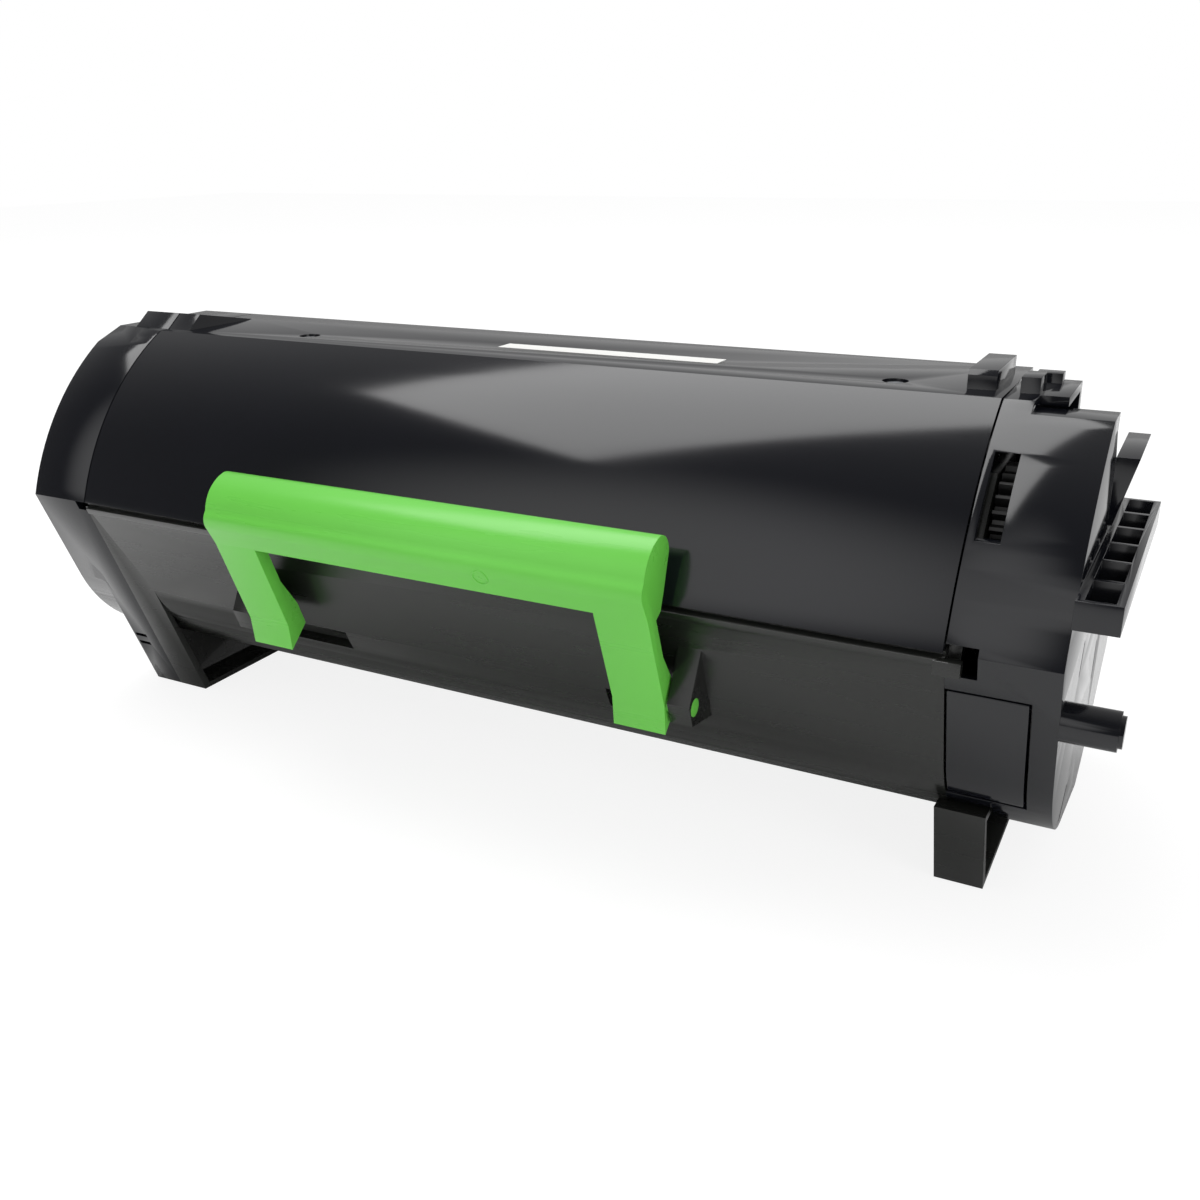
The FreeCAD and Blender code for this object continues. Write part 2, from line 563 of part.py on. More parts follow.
# The tub that holds the toner, with its feet, handle ears, outlet and posts
hopper = piece("hopper")
pad(hopper, "seam_left", "hopper_length", tub_path("0", "0"))
pad(hopper, "seam_left + 1", "hopper_length - 2", [
    leaning("0 - 1", "rim_top"), leaning("rim_reach", "rim_top"),
    leaning("rim_reach", "rim_top + rim_depth"), leaning("0 - 1", "rim_top + rim_depth + 0.5")])
pad(hopper, "seam_left", "left_foot_hopper_side", foot_path())
pad(hopper, "seam_right - right_foot_lap", "right_foot_length", [
    leaning("0", "foot_top / cos(lean)"), (FLOOR_FRONT, "0 - axis_rise"),
    ("foot_back", "0 - axis_rise"), ("foot_back", "0 - foot_top - 5")])
for side in ("-1", "1"):
    bracket = f"middle + {side} * (arm_reach + ear_gap + ear_width / 2) - ear_width / 2"
    pad(hopper, bracket, "ear_width", [
        leaning("0 - 1", "ear_top"), leaning("ear_reach", "ear_knee"),
        leaning("ear_reach", "ear_chin"), leaning("0 - 1", "ear_root")])
    guide = f"trough_y + {side} * (shutter_half + shutter_play + rail_wall / 2) - rail_wall / 2"
    lip = f"trough_y + {side} * (shutter_half + shutter_play - rail_lip / 2) - rail_lip / 2"
    block(hopper, "port_x - port_reach - shutter_travel - 1", guide, GUIDE_LOW,
          "2 * port_reach + shutter_travel + 2", "rail_wall",
          f"trough_z - 0.8 * trough_radius - ({GUIDE_LOW})")
    block(hopper, "port_x - port_reach - shutter_travel - 1", lip, GUIDE_LOW,
          "2 * port_reach + shutter_travel + 2", "rail_lip", "rail_lip_thick")
block(hopper, "seam_right - 2", "0 - front_reach - 0.7", "0 - clip_low", "clip_reach + 2", "clip_thick",
      "clip_low - clip_high")
block(hopper, "port_x - port_reach", "trough_y - shutter_half", "0 - port_floor", "2 * port_reach",
      "2 * shutter_half", "port_floor + trough_z - trough_radius + wall / 2")
cut(hopper, "seam_left + end_wall", "hopper_length - 2 * end_wall", tub_path("wall", "5"))
cut(hopper, "seam_left - 1", "hopper_length + 2", [
    leaning("0 - groove_depth", "0 - 2"), leaning("0 - groove_depth", "rim_top"),
    leaning("3", "rim_top"), leaning("3", "0 - 2")])
cut(hopper, "seam_left + foot_skin", "left_foot_hopper_side", foot_hollow())
cut(hopper, "seam_right - right_foot_lap + foot_skin", "right_foot_length", [
    leaning("0 - foot_skin", "(foot_top + 1.6 * foot_skin) / cos(lean)"),
    (FLOOR_FRONT + " + 1.4 * foot_skin", "foot_skin - axis_rise"),
    ("foot_back - foot_skin", "foot_skin - axis_rise"),
    ("foot_back - foot_skin", "0 - foot_top - 5 - foot_skin")])
for side in ("-1", "1"):
    bracket = f"middle + {side} * (arm_reach + ear_gap + ear_width / 2) - ear_width / 2"
    rod(hopper, f"{bracket} - 1", "pivot_y", "pivot_z", "ear_width + 2", "pivot_radius + pivot_clearance",
        True)
block(hopper, "port_x - port_length / 2", "trough_y - port_width / 2", "0 - port_floor - 1", "port_length",
      "port_width", "port_floor + 1 + trough_z - trough_radius + 2 * wall", True)
pad(hopper, "seam_right", "plate_thick", [
    leaning("0 - wall - 0.5", "4"), ("trough_y - trough_radius", "0 - 4"), ("trough_y - trough_radius", "2"),
    ("0 - strip_back", "hood_back_z"), (*on_lid("hood_back_z", "(wall + 1)"), "lid_radius - wall - 1")])
pad(hopper, "seam_right", "plate_thick", back_plate_path())
for recess in RECESSES:
    pad(hopper, f"{recess} - wall", "pocket_outer - pocket_inner + 2 * wall", [
        leaning("0 - wall / 2", "pocket_top - wall"), leaning("0 - pocket_sink - wall", "pocket_top - wall"),
        leaning("0 - pocket_sink - wall - 0.6", "pocket_top + pocket_tall + wall"),
        leaning("0 - wall - 0.6", "pocket_top + pocket_tall + wall")])
rod(hopper, POST_LEFT, "left_post_lower_y", "left_post_lower_z", f"seam_left - ({POST_LEFT})", "post_radius")
for y, z in RIGHT_POSTS:
    rod(hopper, "seam_right", y, z, f"{POST_RIGHT} - seam_right", "post_radius")
for y, z, shaft, outer in JOURNALS:
    rod(hopper, "seam_left - cup_reach", y, z, "cup_reach + end_wall", outer)
for y, z in GEAR_POSTS:
    rod(hopper, "seam_right", y, z, "post_length", "stub_post_radius")
for recess in RECESSES:
    cut(hopper, recess, "pocket_outer - pocket_inner", [
        leaning("2", "pocket_top"), leaning("0 - pocket_sink", "pocket_top"),
        leaning("0 - pocket_sink - 0.6", "pocket_top + pocket_tall"),
        leaning("2", "pocket_top + pocket_tall")])
rod(hopper, POST_LEFT, "left_post_lower_y", "left_post_lower_z", "screw_length - screw_seat", "screw_radius",
    True)
for y, z in RIGHT_POSTS:
    rod(hopper, f"{POST_RIGHT} - screw_length + screw_seat", y, z, "screw_length - screw_seat",
        "screw_radius", True)
for y, z, shaft, outer in JOURNALS:
    rod(hopper, "seam_left - cup_reach + cup_floor", y, z, "cup_reach + end_wall",
        f"{shaft} + shaft_clearance", True)
    rod(hopper, "seam_right - end_wall - 1", y, z, "end_wall + 2", outer, True)
rod(hopper, "seam_left - 1", "plug_y", "plug_z", "end_wall + 2", "plug_radius", True)
finish(hopper)

# The lid with its closed ends, ridge, half of the hump and two screw bosses
lid = piece("lid")
pad(lid, "seam_left + seam_gap", "hopper_length - 2 * seam_gap", lid_path("0", "0"))
pad(lid, "right_end - ridge_left", "ridge_width", [
    ("0", "top_rise - 1"), ("ridge_depth", "top_rise - 1"), ("ridge_depth", "top_rise + ridge_rise"),
    ("ridge_slope", "top_rise + ridge_rise"), ("0", "top_rise + ridge_rise - ridge_slope")])
pad(lid, "seam_left + seam_gap", "hump_left + hump_width - left_cap_length - seam_gap",
    hump_path("top_rise - 1"))
cut(lid, "seam_left + seam_gap + end_wall", "hopper_length - 2 * seam_gap - 2 * end_wall",
    lid_path("wall", "0 - 1"))
for place in TOP_SCREWS:
    drill(lid, place, "screw_y", "top_rise - screw_sink - screw_length",
          "screw_sink + screw_length - wall / 2", "screw_boss_radius", False)
rod(lid, POST_LEFT, "left_post_upper_y", "left_post_upper_z", f"seam_left + seam_gap - ({POST_LEFT})",
    "post_radius")
for place in TOP_SCREWS:
    drill(lid, place, "screw_y", "top_rise - screw_sink", "screw_sink + 1",
          "screw_head_radius + screw_room")
    drill(lid, place, "screw_y", "top_rise - screw_sink - screw_length + 0.8", "screw_length",
          "screw_radius")
rod(lid, POST_LEFT, "left_post_upper_y", "left_post_upper_z", "screw_length - screw_seat", "screw_radius",
    True)
block(lid, "right_end - label_left", "label_front", "top_rise - label_sink", "label_length", "label_width",
      "1", True)
finish(lid)

label = piece("label_strip")
block(label, "right_end - label_left", "label_front", "top_rise - label_sink", "label_length", "label_width",
      "label_thick")
finish(label)

top_screws = piece("top_screws")
for place in TOP_SCREWS:
    drill(top_screws, place, "screw_y", "top_rise - screw_sink", "screw_head_tall",
          "screw_head_radius", False)
    drill(top_screws, place, "screw_y", "top_rise - screw_sink - screw_length + 0.8",
          "screw_length - 0.8", "screw_radius", False)
for place in TOP_SCREWS:
    drill(top_screws, place, "screw_y", "top_rise - screw_sink + screw_head_tall - screw_socket",
          "screw_socket + 1", "screw_head_radius / 3")
finish(top_screws)

# The left end cap with half of the hump and half of the left foot
left_cap = piece("left_end_cap")
pad(left_cap, "left_end", "left_step", cap_left_path("0", True))
pad(left_cap, "left_end + left_step", "left_cap_length - left_step", cap_left_path("0", False))
pad(left_cap, "left_end + hump_left", "left_cap_length - hump_left", hump_path("top_rise - 1"))
pad(left_cap, "seam_left - left_foot_cap_side", "left_foot_cap_side", foot_path())
cut(left_cap, "left_end + wall", "left_cap_length", cap_left_path("wall", True))
cut(left_cap, "seam_left - left_foot_cap_side + foot_skin", "left_foot_cap_side", foot_hollow())
block(left_cap, "seam_left - left_notch_wide", "0 - front_reach - 2", "0 - left_notch_high",
      "left_notch_wide + 1",
      "wall + 5", "left_notch_high", True)
for slot in range(2):
    block(left_cap, "left_end + vent_from", "0 - front_reach", f"0 - vent_low - {slot} * vent_pitch",
          "vent_wide",
          "0.5 * front_reach", "vent_tall", True)
rod(left_cap, "left_end + wall / 2", "left_post_upper_y", "left_post_upper_z",
    "screw_sink + screw_seat - wall / 2",
    "screw_boss_radius")
rod(left_cap, "left_end + wall / 2", "left_post_lower_y", "left_post_lower_z",
    "screw_sink + screw_seat - wall / 2",
    "screw_boss_radius")
block(left_cap, "left_end + wall / 2", "chip_front - wall", "chip_rise - wall", "wall",
      "chip_length + 2 * wall",
      "chip_width + 2 * wall")
block(left_cap, "left_end - 1", "chip_front", "chip_rise", "1 + chip_thick + contact_thick", "chip_length",
      "chip_width", True)
for y, z in LEFT_POSTS:
    rod(left_cap, "left_end - 1", y, z, "screw_sink + 1", "screw_head_radius + screw_room", True)
    rod(left_cap, "left_end", y, z, "screw_sink + screw_seat + 1", "screw_radius + screw_room", True)
finish(left_cap)

left_screws = piece("left_cap_screws")
for y, z in LEFT_POSTS:
    rod(left_screws, "left_end + screw_sink - screw_head_tall", y, z, "screw_head_tall", "screw_head_radius")
    rod(left_screws, "left_end + screw_sink", y, z, "screw_length", "screw_radius")
for y, z in LEFT_POSTS:
    rod(left_screws, "left_end + screw_sink - screw_head_tall - 1", y, z, "1 + screw_socket",
        "screw_head_radius / 3", True)
finish(left_screws)

chip = piece("chip_board")
block(chip, "left_end + contact_thick", "chip_front", "chip_rise", "chip_thick", "chip_length", "chip_width")
finish(chip)

contacts = piece("chip_contacts")
for number in range(4):
    block(contacts, "left_end", f"chip_front + {number} * contact_pitch + (chip_length - 3 * contact_pitch"
          " - contact_width) / 2", "chip_rise + (chip_width - contact_length) / 2", "contact_thick",
          "contact_width",
          "contact_length")
finish(contacts)

plug = piece("fill_plug")
rod(plug, "seam_left - plug_lip", "plug_y", "plug_z", "plug_lip", "plug_flange")
rod(plug, "seam_left - plug_lip", "plug_y", "plug_z", "plug_lip + end_wall", "plug_radius")
finish(plug)

# The right end cap with the gear housing, hood, rail, boss and locating pin
right_cap = piece("right_end_cap")
pad(right_cap, "seam_right", "right_cap_length", hood_path("0", "end"))
pad(right_cap, "seam_right", "right_cap_length - shelf_end", hood_path("0", "shelf"))
pad(right_cap, "seam_right", "right_cap_length - step_in", hood_path("0", "crest"))
block(right_cap, "right_end - tongue_left", "0 - 0.3", "top_rise - 1", "tongue_width", "tongue_depth",
      "tongue_rise + 1")
block(right_cap, "right_end - stub_left", "stub_front", "top_rise - 1", "stub_width", "stub_depth",
      "stub_rise + 1")
pad(right_cap, "right_end", "rail_reach", [
    ("0 - rail_front", "rail_low"), ("rail_back", "rail_back_high - rail_tall"),
    ("rail_back", "rail_back_high"),
    ("0 - rail_front", "rail_high")])
rod(right_cap, "right_end", "pin_y", "pin_z", "pin_reach - pin_chamfer", "pin_radius")
rod(right_cap, "right_end", "pin_y", "pin_z", "pin_reach", "pin_radius - pin_chamfer")
boss = document.addObject("Part::Wedge", "boss_wedge")
boss.Placement = FreeCAD.Placement(FreeCAD.Vector(), FreeCAD.Rotation(FreeCAD.Vector(1, 0, 0), 90))
for name, text in (("Xmin", "0"), ("Ymin", "0"), ("Zmin", "0"), ("X2min", "0"), ("Z2min", "0"),
                   ("Xmax", "boss_foot"), ("Ymax", "boss_high - boss_low"),
                   ("Zmax", "boss_back - boss_front"),
                   ("X2max", "boss_reach"), ("Z2max", "boss_back - boss_front")):
    bind(boss, name, text)
put(right_cap, boss, "right_end", "axis_y + boss_back", "axis_rise + boss_low", False)
cut(right_cap, "seam_right - 1", "right_cap_length + 1 - wall", hood_path("wall", "end"))
cut(right_cap, "seam_right - 1", "right_cap_length + 2 - shelf_end", [
    ("0 - strip_back - 2", "hood_back_z"), ("shelf_back - wall", "hood_back_z"),
    ("shelf_back - wall", "top_rise - wall"), ("0 - strip_back - 2", "top_rise - wall")])
block(right_cap, "seam_right + window_left", "0 - front_reach", "window_low", "window_width",
      "front_reach - window_reach", "window_high - window_low", True)
block(right_cap, "seam_right - 1", "0 - front_reach - 2", "0 - notch_low", "notch_wide + 1", "wall + 5",
      "notch_low + notch_high", True)
cut(right_cap, "seam_right - 1", "1 + hatch_left + hatch_width + hatch_gap",
    panel_path("3", "0 - wall - 3", "hatch_from - hatch_gap", "hatch_angle + 1"))
cut(right_cap, "seam_right - 1", "1 + right_foot_length - right_foot_lap + hatch_gap", [
    on_bowl("foot_window_angle", "(0 - 3)"), ("0 - front_reach", "0 - axis_rise - 1"),
    ("foot_back + hatch_gap", "0 - axis_rise - 1"), ("foot_back + hatch_gap", "0 - foot_top - 4")])
for first, last in SLITS:
    cut(right_cap, "right_end - wall - 1", "wall + 2", slit_path(first, last))
for bay in range(6):
    cut(right_cap, "right_end + rail_skin", "rail_reach - 2 * rail_skin", bay_path(bay))
for y, z in RIGHT_POSTS:
    rod(right_cap, "right_end - screw_sink - screw_seat", y, z, "screw_sink + screw_seat - wall / 2",
        "screw_boss_radius")
for y, z in GEAR_POSTS:
    rod(right_cap, "seam_right + gear_start + gear_face + post_cap_gap", y, z,
        "right_cap_length - wall / 2 - gear_start - gear_face - post_cap_gap", "stub_post_radius + wall")
for y, z in RIGHT_POSTS:
    rod(right_cap, "right_end - screw_sink", y, z, "screw_sink + 1", "screw_head_radius + screw_room", True)
    rod(right_cap, "right_end - screw_sink - screw_seat - 1", y, z, "screw_sink + screw_seat + 1",
        "screw_radius + screw_room", True)
for y, z in GEAR_POSTS:
    rod(right_cap, "seam_right + gear_start + gear_face", y, z, "post_length - gear_start - gear_face + 1",
        "stub_post_radius + screw_room", True)
finish(right_cap)

right_screws = piece("right_cap_screws")
for y, z in RIGHT_POSTS:
    rod(right_screws, "right_end - screw_sink", y, z, "screw_head_tall", "screw_head_radius")
    rod(right_screws, "right_end - screw_sink - screw_length", y, z, "screw_length", "screw_radius")
for y, z in RIGHT_POSTS:
    rod(right_screws, "right_end - screw_sink + screw_head_tall - screw_socket", y, z, "1 + screw_socket",
        "screw_head_radius / 3", True)
finish(right_screws)

hatch = piece("hatch_panel")
pad(hatch, "seam_right + hatch_left", "hatch_width",
    panel_path("0", "0 - wall", "hatch_from", "hatch_angle"))
pad(hatch, "seam_right + hatch_left", "hatch_width + hatch_flange", [
    leaning("0 - wall", "hatch_from - hatch_flange"),
    leaning("0 - wall - hatch_flange_thick", "hatch_from - hatch_flange"),
    leaning("0 - wall - hatch_flange_thick", f"{KNEE} - 1"),
    leaning("0 - wall", f"{KNEE} - 1")])
finish(hatch)

# The carry handle with its two pivot pins
handle = piece("handle")
pad(handle, "middle - arm_reach", "handle_length", HANDLE_OUTLINE)
cut(handle, "middle - arm_reach + arm_width", "handle_length - 2 * arm_width", [
    leaning("0 - 9", "0 - grip_bottom"), leaning("0 - 9", "toe_low + 9"),
    leaning("toe_out + 9", "toe_low + 9"), leaning("toe_out + 9", "0 - grip_bottom")])
rod(handle, "middle - arm_reach - ear_gap - ear_width", "pivot_y", "pivot_z", "ear_gap + ear_width + 2",
    "pivot_radius")
rod(handle, "middle + arm_reach - 2", "pivot_y", "pivot_z", "ear_gap + ear_width + 2", "pivot_radius")
finish(handle)

# The agitator with its flexible wiper, and the auger, each with its gear
shaft = piece("agitator_shaft")
rod(shaft, "seam_left - cup_reach + cup_floor + 0.3", "bowl_y", "bowl_z",
    "hopper_length + cup_reach - cup_floor - 0.3 + gear_start + gear_face", "shaft_radius")
block(shaft, "seam_left + end_wall + 2", "bowl_y - shaft_radius - 4", "bowl_z - wiper_root / 2",
      "hopper_length - 2 * end_wall - 6", "shaft_radius + 4", "wiper_root / 2")
for number in range(5):
    block(shaft, f"seam_left + end_wall + paddle_start + {number} * paddle_pitch", "bowl_y",
          "bowl_z - paddle_thick / 2",
          "paddle_width", "paddle_radius", "paddle_thick")
finish(shaft)

wiper = piece("agitator_wiper")
block(wiper, "seam_left + end_wall + wiper_clearance", "bowl_y - wiper_radius", "bowl_z",
      "hopper_length - 2 * end_wall - 2 * wiper_clearance - seal_depth", "wiper_radius - shaft_radius - 0.3",
      "wiper_thick")
for number in range(1, 5):
    block(wiper, f"seam_left + end_wall + {number} * paddle_pitch", "bowl_y - wiper_radius - 1",
          "bowl_z - 1", "1.5",
          "wiper_slot_deep + 1", "wiper_thick + 2", True)
finish(wiper)

gear("agitator_gear", "bowl_y", "bowl_z", "agitator_teeth", "0 * gear_module", "shaft_radius - press_fit")
gear("input_gear", "input_y", "input_z", "input_teeth", "input_turn",
     "stub_post_radius + shaft_clearance")
gear("auger_idler", "idler_y", "idler_z", "idler_teeth", "idler_turn",
     "stub_post_radius + shaft_clearance")
gear("auger_gear", "trough_y", "trough_z", "auger_teeth", "auger_turn", "auger_shaft_radius - press_fit")

auger = piece("auger")
rod(auger, "seam_left - cup_reach + cup_floor + 0.3", "trough_y", "trough_z",
    "hopper_length + cup_reach - cup_floor - 0.3 + gear_start + gear_face", "auger_shaft_radius")
for number in range(22):
    blade(auger, number)
finish(auger)

for name, y, z, inner, outer in (("agitator", "bowl_y", "bowl_z", "shaft_radius", "bush_radius"),
                                 ("auger", "trough_y", "trough_z", "auger_shaft_radius",
                                  "auger_bush_radius")):
    bush = piece(name + "_bush")
    rod(bush, "seam_right - end_wall", y, z, "end_wall", outer)
    rod(bush, "seam_right", y, z, "flange_thick", f"{outer} + 1.5")
    rod(bush, "seam_right - end_wall - 1", y, z, "end_wall + flange_thick + 2", f"{inner} + shaft_clearance",
        True)
    finish(bush)
    seal = piece(name + "_seal")
    rod(seal, "seam_right - end_wall - seal_depth", y, z, "seal_depth", f"{outer} + 1.5")
    rod(seal, "seam_right - end_wall - seal_depth - 1", y, z, "seal_depth + 2", f"{inner} + screw_room",
        True)
    finish(seal)

# The outlet shutter with its seal
shutter_seal = piece("shutter_seal")
block(shutter_seal, "port_x - port_reach", "trough_y - shutter_half", "0 - port_floor - seal_thick",
      "2 * port_reach", "2 * shutter_half", "seal_thick")
block(shutter_seal, "port_x - port_length / 2", "trough_y - port_width / 2",
      "0 - port_floor - seal_thick - 1",
      "port_length", "port_width", "seal_thick + 2", True)
finish(shutter_seal)

shutter = piece("outlet_shutter")
block(shutter, "port_x - port_reach", "trough_y - shutter_half",
      "0 - port_floor - seal_thick - shutter_play - shutter_thick", "2 * port_reach", "2 * shutter_half",
      "shutter_thick")
block(shutter, "port_x + port_reach - lug_thick", "trough_y - lug_wide / 2",
      "0 - port_floor - seal_thick - shutter_play - shutter_thick - lug_tall", "lug_thick", "lug_wide",
      "lug_tall + shutter_thick")
finish(shutter)

document.recompute()
for thing in document.Objects:
    for flag in ("Invalid", "Error"):
        if flag in thing.State:
            raise RuntimeError(f"{thing.Label} is {flag}")
os.makedirs("parts", exist_ok=True)
for label, solid in finished.items():
    if solid.Shape.isNull() or not solid.Shape.isValid():
        raise RuntimeError(f"{label} has no valid shape")
    solid.Shape.exportStep(f"parts/{label}.step")
    print(label, len(solid.Shape.Solids), round(solid.Shape.Volume / 1000, 2))
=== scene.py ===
# %% [markdown]
# # A toner cartridge, dressed for its picture
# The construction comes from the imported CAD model: a long tub under a domed lid, two end caps, feet, gears
# and a
# green carry handle. This lesson gives those pieces their moulded plastic, rounds their edges, adds the
# small things
# that a mould leaves behind, and sets up the light and the camera.

# %% Load the frame
import math

import bmesh
import bpy
from mathutils import Matrix, Vector
from mathutils.bvhtree import BVHTree


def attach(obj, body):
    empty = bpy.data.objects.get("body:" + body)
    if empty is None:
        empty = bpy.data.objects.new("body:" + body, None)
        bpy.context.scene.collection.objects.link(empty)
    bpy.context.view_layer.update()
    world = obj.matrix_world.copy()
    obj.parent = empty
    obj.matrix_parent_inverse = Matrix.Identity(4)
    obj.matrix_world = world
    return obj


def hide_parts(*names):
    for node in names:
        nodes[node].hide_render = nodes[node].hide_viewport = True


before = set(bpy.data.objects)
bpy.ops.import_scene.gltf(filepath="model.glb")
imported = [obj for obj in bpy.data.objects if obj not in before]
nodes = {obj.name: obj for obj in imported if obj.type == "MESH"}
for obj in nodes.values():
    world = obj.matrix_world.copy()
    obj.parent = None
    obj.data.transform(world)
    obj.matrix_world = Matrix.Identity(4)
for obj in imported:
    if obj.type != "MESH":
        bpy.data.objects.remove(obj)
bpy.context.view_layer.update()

# %% [markdown]
# ## One helper for colours and one for nodes
# Colours are written as the hex values that a paint program shows. The renderer works with linear light, so
# one
# function converts them. A second small function adds a node, sets it up and links it, which keeps each
# material to
# a few readable lines.

# %% Colour and node helpers
def linear(hex_text, alpha=1.0):
    """An sRGB hex colour as linear numbers."""
    channels = [int(hex_text[i:i + 2], 16) / 255 for i in (1, 3, 5)]
    return [c / 12.92 if c <= 0.04045 else ((c + 0.055) / 1.055) ** 2.4 for c in channels] + [alpha]


def add(tree, kind, inputs=None, **settings):
    """Add a node; an input given as a socket is linked, and any other is set."""
    node = tree.nodes.new(kind)
    for name, setting in settings.items():
        setattr(node, name, setting)
    for name, source in (inputs or {}).items():
        if isinstance(source, bpy.types.NodeSocket):
            tree.links.new(source, node.inputs[name])
        else:
            node.inputs[name].default_value = source
    return node


def new_material(name):
    material = bpy.data.materials.new(name)
    material.use_nodes = True
    material.node_tree.nodes.clear()
    return material, material.node_tree


print("mid grey is", [round(c, 3) for c in linear("#808080")])

# %% [markdown]
# ## Moulded plastics
# Nearly everything here is injection-moulded. A polished mould gives a gloss skin that still waves a little
# where the
# wall shrank, and a spark-eroded mould gives a fine grain. One recipe covers both: two close colours mixed
# by a slow
# noise, a roughness that wanders with handling, and a bump made of a slow wave and a fine grain. The sizes
# are given
# in millimetres, and the finest grain is drawn at 0.5 mm, coarser than the real one, so that it shows.

# %% The moulded plastic recipe
def moulded(name, dark, light, rough, rough_spread, wave_mm, wave_depth, grain_mm, grain_depth, ior=1.53):
    """Moulded plastic on object coordinates. Depths are in millimetres."""
    material, tree = new_material(name)
    place = add(tree, "ShaderNodeTexCoord").outputs["Object"]
    slow = add(tree, "ShaderNodeTexNoise", {"Vector": place, "Scale": 1000 / 45, "Detail": 3.0})
    colour = add(tree, "ShaderNodeMix", {"Factor": slow.outputs["Fac"], "A": linear(dark),
                                         "B": linear(light)},
                 data_type="RGBA")
    streak_place = add(tree, "ShaderNodeMapping", {"Vector": place, "Scale": (12.0, 160.0, 160.0)})
    streak = add(tree, "ShaderNodeTexNoise", {"Vector": streak_place.outputs["Vector"], "Scale": 1.0,
                                              "Detail": 4.0})
    handled = add(tree, "ShaderNodeMapRange", {"Value": streak.outputs["Fac"], "From Min": 0.3,
                                               "From Max": 0.7,
                                               "To Min": rough, "To Max": rough + rough_spread})
    wave = add(tree, "ShaderNodeTexNoise", {"Vector": place, "Scale": 1000 / wave_mm, "Detail": 1.0})
    wave_bump = add(tree, "ShaderNodeBump", {"Height": wave.outputs["Fac"], "Strength": 1.0,
                                             "Distance": wave_depth / 1000})
    grain = add(tree, "ShaderNodeTexNoise", {"Vector": place, "Scale": 1000 / grain_mm, "Detail": 2.0})
    grain_bump = add(tree, "ShaderNodeBump", {"Height": grain.outputs["Fac"], "Strength": 1.0,
                                              "Distance": grain_depth / 1000,
                                              "Normal": wave_bump.outputs["Normal"]})
    skin = add(tree, "ShaderNodeBsdfPrincipled", {"Base Color": colour.outputs["Result"],
                                                  "Roughness": handled.outputs["Result"], "IOR": ior,
                                                  "Normal": grain_bump.outputs["Normal"]})
    add(tree, "ShaderNodeOutputMaterial", {"Surface": skin.outputs["BSDF"]})
    return material


# High-gloss ABS: the eye sees a black mirror with soft, slightly wavy reflections.
gloss_black_abs = moulded("gloss_black_abs", "#0D0E12", "#121319", 0.11, 0.02, 42, 0.008, 0.9, 0.0006)
# Satin ABS: the same plastic from a grained mould, so it is greyer and its highlights are broad.
satin_black_abs = moulded("satin_black_abs", "#181917", "#1E1F1D", 0.22, 0.10, 30, 0.04, 0.6, 0.003)
# Polypropylene dyed green: waxy, bright, with a soft highlight.
green_polypropylene = moulded("green_polypropylene", "#68C847", "#71D251", 0.26, 0.08, 22, 0.03, 0.6, 0.002,
                              1.49)
# Acetal: gears and bushes, slippery and dull black.
black_acetal = moulded("black_acetal", "#141414", "#1B1B1B", 0.36, 0.08, 12, 0.01, 0.5, 0.004, 1.48)
# Uncoloured nylon: milky, for shafts and the plug.
natural_nylon = moulded("natural_nylon", "#C9C6BB", "#D6D3C9", 0.42, 0.08, 15, 0.02, 0.5, 0.004)
# Printed film: flat white, hardly any grain.
white_film = moulded("white_film", "#E9E9E6", "#F1F1EE", 0.45, 0.05, 20, 0.004, 0.5, 0.001)
# Polyester film of the wiper: thin, grey and shiny.
wiper_film = moulded("wiper_film", "#9DA0A2", "#ABAEB0", 0.15, 0.1, 25, 0.05, 0.8, 0.001)
print("moulded plastics:", [m.name for m in bpy.data.materials if m.node_tree])

# %% [markdown]
# ## Foam, screws and the chip
# The seals are open-cell foam, whose cells a Voronoi pattern draws at about 0.8 mm. The screws are
# zinc-plated steel,
# so they are metallic with a brushed, slightly blue tone. The chip is a small glass-fibre board under green
# lacquer:
# a brick pattern in object space stands for the tracks below the lacquer.

# %% Foam, zinc and circuit board
def foam_material():
    material, tree = new_material("urethane_foam")
    place = add(tree, "ShaderNodeTexCoord").outputs["Object"]
    cells = add(tree, "ShaderNodeTexVoronoi", {"Vector": place, "Scale": 1000 / 0.8})
    colour = add(tree, "ShaderNodeMix", {"Factor": cells.outputs["Distance"], "A": linear("#2A2A2B"),
                                         "B": linear("#4C4C4E")}, data_type="RGBA")
    bump = add(tree, "ShaderNodeBump", {"Height": cells.outputs["Distance"], "Distance": 0.0003})
    skin = add(tree, "ShaderNodeBsdfPrincipled", {"Base Color": colour.outputs["Result"], "Roughness": 0.9,
                                                  "Normal": bump.outputs["Normal"]})
    add(tree, "ShaderNodeOutputMaterial", {"Surface": skin.outputs["BSDF"]})
    return material


def zinc_material():
    material, tree = new_material("zinc_plated_steel")
    place = add(tree, "ShaderNodeTexCoord").outputs["Object"]
    spots = add(tree, "ShaderNodeTexNoise", {"Vector": place, "Scale": 1000 / 1.2, "Detail": 3.0})
    colour = add(tree, "ShaderNodeMix", {"Factor": spots.outputs["Fac"], "A": linear("#8E9296"),
                                         "B": linear("#C2C6CA")}, data_type="RGBA")
    worn = add(tree, "ShaderNodeMapRange", {"Value": spots.outputs["Fac"], "To Min": 0.22, "To Max": 0.42})
    skin = add(tree, "ShaderNodeBsdfPrincipled", {"Base Color": colour.outputs["Result"], "Metallic": 1.0,
                                                  "Roughness": worn.outputs["Result"]})
    add(tree, "ShaderNodeOutputMaterial", {"Surface": skin.outputs["BSDF"]})
    return material


